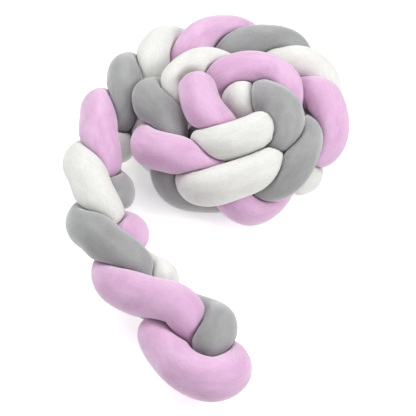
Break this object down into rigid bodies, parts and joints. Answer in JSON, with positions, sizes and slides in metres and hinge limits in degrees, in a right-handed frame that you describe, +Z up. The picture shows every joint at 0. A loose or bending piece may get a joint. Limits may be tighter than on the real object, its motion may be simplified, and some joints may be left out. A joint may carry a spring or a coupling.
{
  "type": "braided crib bumper",
  "caption": "Long plait of stuffed velvet tubes in pink, grey and white, wound into a rosette that stands on its edge, with a free tail.",
  "frame": {"origin": "middle of the footprint, on the floor that the plait rests on", "axes": "+Z up; +Y from the free tail towards the far side of the rosette; +X to the right of the tail, seen from the free end"},
  "size_m": [0.448, 0.7598, 0.17],
  "materials": {
    "velvet_pink": "short-pile velvet, matt",
    "velvet_grey": "short-pile velvet, matt",
    "velvet_white": "short-pile velvet, matt"
  },
  "bodies": {
    "root": {"strand_pink": "velvet_pink", "strand_grey": "velvet_grey", "strand_white": "velvet_white"}
  },
  "joints": []
}
